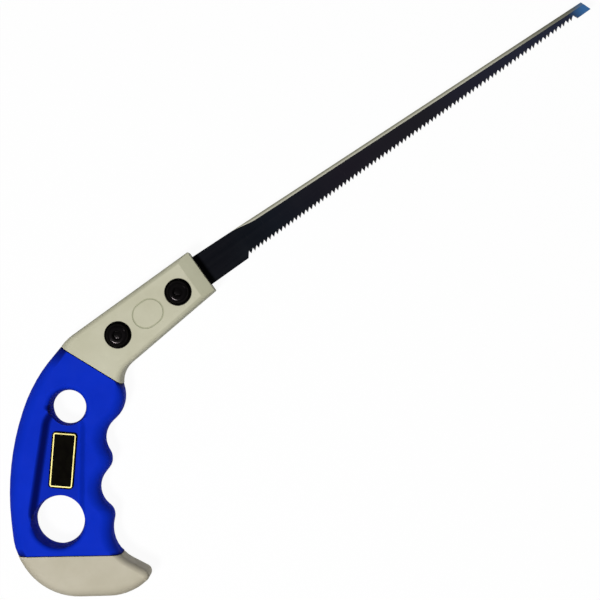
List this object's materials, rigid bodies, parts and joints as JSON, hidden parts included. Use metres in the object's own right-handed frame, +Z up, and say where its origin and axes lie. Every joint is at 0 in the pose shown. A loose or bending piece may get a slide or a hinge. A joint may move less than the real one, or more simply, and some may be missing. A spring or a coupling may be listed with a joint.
{
  "type": "root saw",
  "caption": "Hand root saw: a tapered pull-cut blade clamped by socket bolts in a moulded head, with a soft pistol grip, finger grooves, through holes and a hooked pommel.",
  "frame": {"origin": "middle of the bounding box, on the flat side that the saw lies on", "axes": "+X along the tang to the blade's tip, +Y to the back of the blade, +Z up through the thickness, on the side of the bolt heads"},
  "size_m": [0.3864, 0.1197, 0.026],
  "materials": {
    "ivory_moulding": "satin moulding",
    "blue_grip": "smooth soft grip",
    "blade_steel": "dark coating, ground back edge",
    "black_fastener": "black oxide",
    "nut_steel": "zinc plated",
    "plate": "black with a pale border"
  },
  "bodies": {
    "handle": {"handle_core": "ivory_moulding", "grip_sleeve": "blue_grip", "blade": "blade_steel", "nut_front": "nut_steel", "nut_rear": "nut_steel", "name_plate": "plate"},
    "washer_front": {"washer_front": "black_fastener"},
    "bolt_front": {"clamp_bolt_front": "black_fastener"},
    "washer_rear": {"washer_rear": "black_fastener"},
    "bolt_rear": {"clamp_bolt_rear": "black_fastener"}
  },
  "joints": [
    {"name": "washer_front_lift", "type": "slide", "parent": "handle", "child": "washer_front", "axis": [0, 0, 1], "range_m": [0, 0.0045]},
    {"name": "bolt_front_turn", "type": "hinge", "parent": "washer_front", "child": "bolt_front", "pos_m": [-0.05317, 0.04648, 0.0228], "axis": [0, 0, 1], "range_deg": [0, 1640]},
    {"name": "washer_rear_lift", "type": "slide", "parent": "handle", "child": "washer_rear", "axis": [0, 0, 1], "range_m": [0, 0.0045]},
    {"name": "bolt_rear_turn", "type": "hinge", "parent": "washer_rear", "child": "bolt_rear", "pos_m": [-0.08917, 0.04648, 0.0228], "axis": [0, 0, 1], "range_deg": [0, 1640]}
  ],
  "couplings": [
    {"joint": "bolt_front_turn", "follows": "washer_front_lift", "rad_per_m": 6283.2},
    {"joint": "bolt_rear_turn", "follows": "washer_rear_lift", "rad_per_m": 6283.2}
  ]
}
